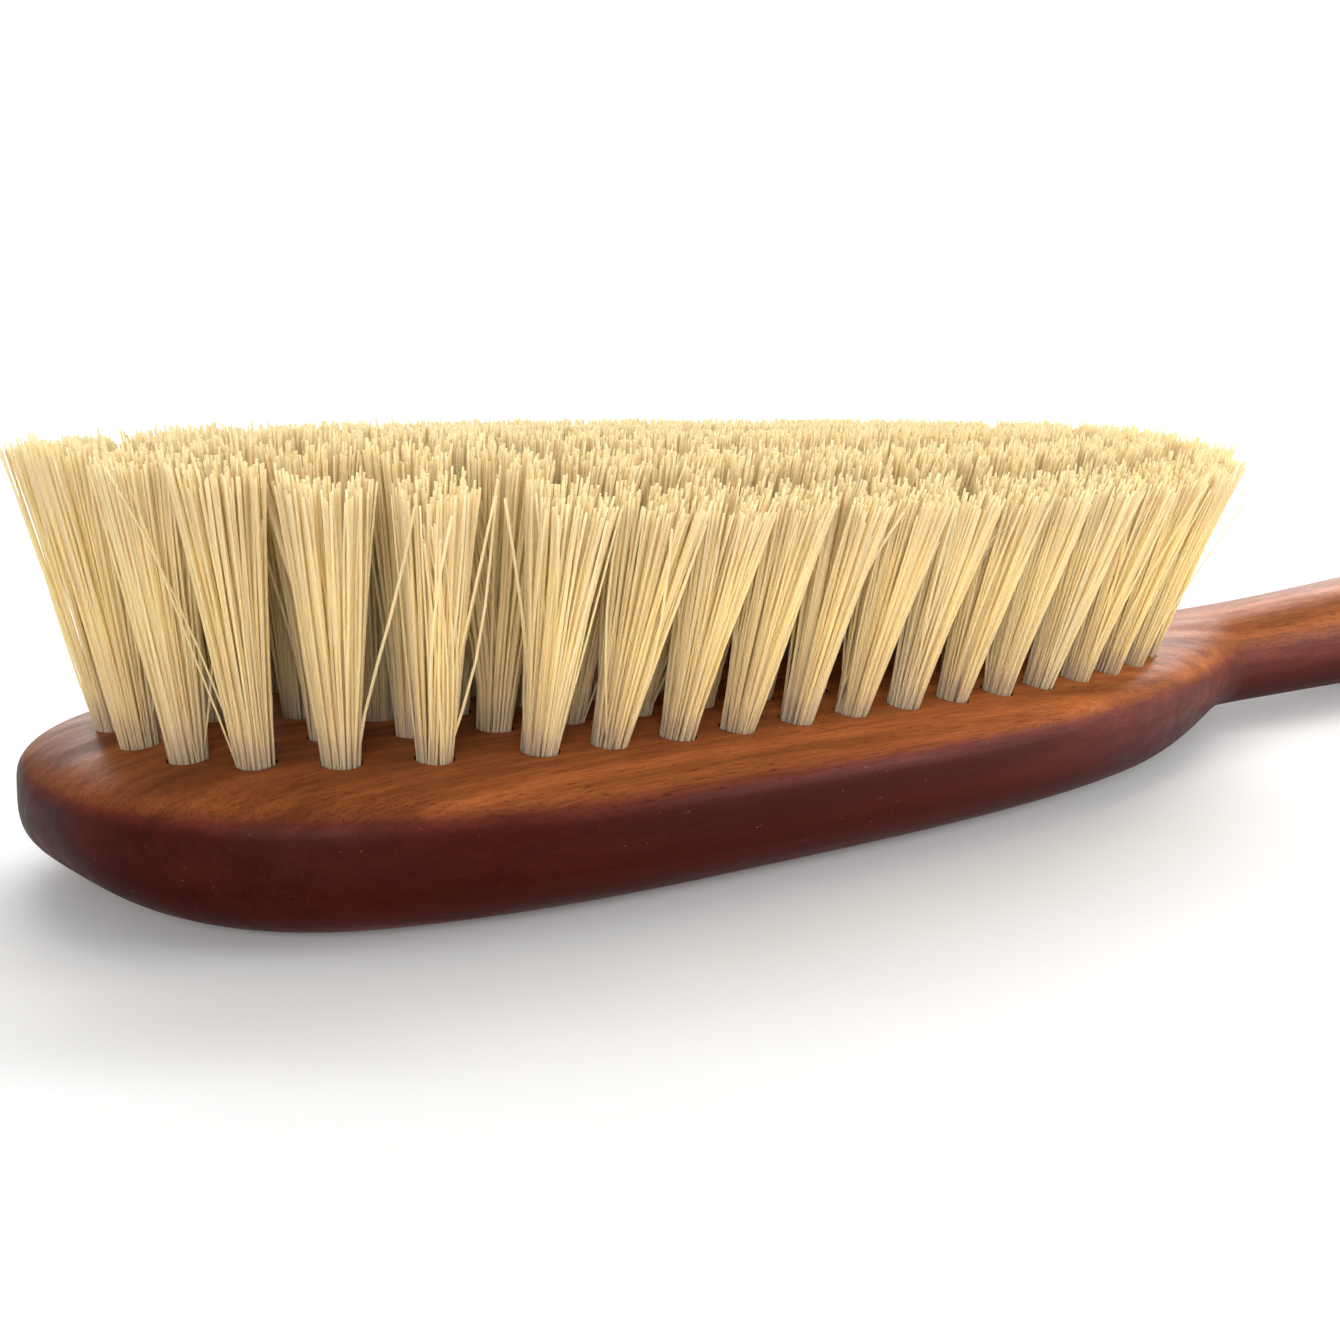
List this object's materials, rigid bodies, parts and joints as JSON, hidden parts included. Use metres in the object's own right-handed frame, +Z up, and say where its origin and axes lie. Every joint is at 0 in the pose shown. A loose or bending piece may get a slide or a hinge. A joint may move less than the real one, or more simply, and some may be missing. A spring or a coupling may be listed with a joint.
{
  "type": "body dry brush",
  "caption": "Long-handled wooden body brush: an oval head set with a domed field of pale bristle tufts held by wire staples, on a slim neck and rounded grip with a hang hole.",
  "frame": {"origin": "middle of the flat back of the head, which is the surface the brush lies on", "axes": "+X runs from the head along the handle, +Y across the head, +Z up out of the back through the bristles"},
  "size_m": [0.4, 0.0684, 0.0421],
  "materials": {
    "wood": "oiled satin, reddish brown",
    "bristle": "natural ivory bristle, glossy strands",
    "staple_wire": "drawn flat wire"
  },
  "bodies": {
    "root": {"wooden_body": "wood", "outer_ring_tufts_1": "bristle", "outer_ring_tufts_2": "bristle", "outer_ring_tufts_3": "bristle", "outer_ring_tufts_4": "bristle", "outer_ring_tufts_5": "bristle", "outer_ring_tufts_6": "bristle", "outer_ring_tufts_7": "bristle", "outer_ring_tufts_8": "bristle", "outer_ring_tufts_9": "bristle", "outer_ring_tufts_10": "bristle", "outer_ring_tufts_11": "bristle", "second_ring_tufts_1": "bristle", "second_ring_tufts_2": "bristle", "second_ring_tufts_3": "bristle", "second_ring_tufts_4": "bristle", "second_ring_tufts_5": "bristle", "second_ring_tufts_6": "bristle", "second_ring_tufts_7": "bristle", "second_ring_tufts_8": "bristle", "second_ring_tufts_9": "bristle", "third_ring_tufts_1": "bristle", "third_ring_tufts_2": "bristle", "third_ring_tufts_3": "bristle", "third_ring_tufts_4": "bristle", "third_ring_tufts_5": "bristle", "third_ring_tufts_6": "bristle", "third_ring_tufts_7": "bristle", "third_ring_tufts_8": "bristle", "centre_row_tufts_1": "bristle", "centre_row_tufts_2": "bristle", "centre_row_tufts_3": "bristle", "outer_ring_staples": "staple_wire", "second_ring_staples": "staple_wire", "third_ring_staples": "staple_wire", "centre_row_staples": "staple_wire"}
  },
  "joints": []
}
